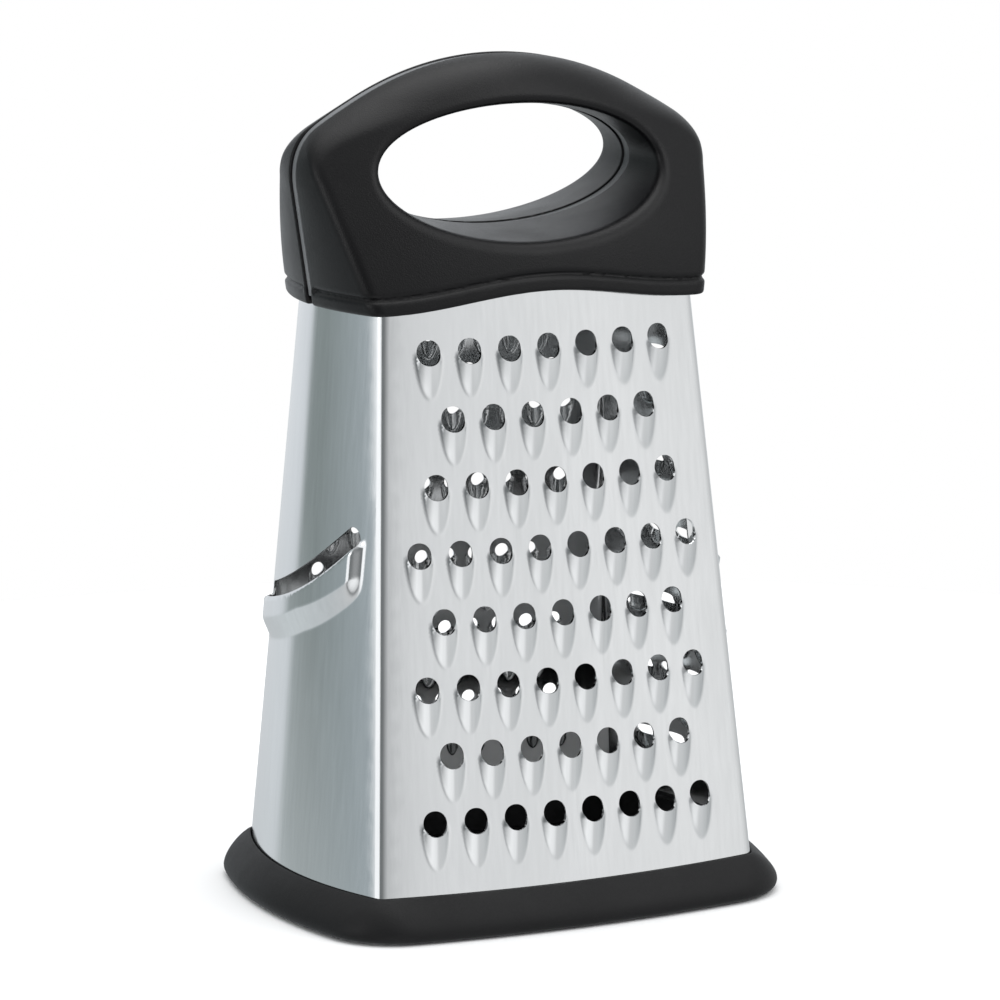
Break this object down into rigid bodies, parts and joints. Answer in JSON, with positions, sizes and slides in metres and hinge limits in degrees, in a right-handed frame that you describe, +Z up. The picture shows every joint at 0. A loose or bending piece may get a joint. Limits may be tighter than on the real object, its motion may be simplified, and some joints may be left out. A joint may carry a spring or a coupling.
{
  "type": "box grater",
  "caption": "Four-sided tapered steel box grater with coarse, medium and small cutting holes, a side slicer, a black arched handle with finger hole and a soft base ring.",
  "frame": {"origin": "centre of the footprint, on the surface the grater stands on", "axes": "+Z up the body, coarse face towards -Y, slicer side towards -X"},
  "size_m": [0.1404, 0.1128, 0.2235],
  "materials": {
    "steel": "finely brushed along the height, polished bends",
    "inner_plastic": "moulded, matte",
    "soft_base": "matte soft-touch",
    "handle_plastic": "fine satin texture",
    "core_plastic": "smooth, semi-gloss",
    "fasteners": "plated"
  },
  "bodies": {
    "root": {"front_left_sheet": "steel", "rear_right_sheet": "steel", "seam_strap_front_right": "steel", "seam_strap_rear_left": "steel", "base_frame": "inner_plastic", "base_grip_ring": "soft_base", "handle_front_shell": "handle_plastic", "handle_rear_shell": "handle_plastic", "handle_core": "core_plastic", "top_insert": "inner_plastic", "handle_screws": "fasteners"}
  },
  "joints": []
}
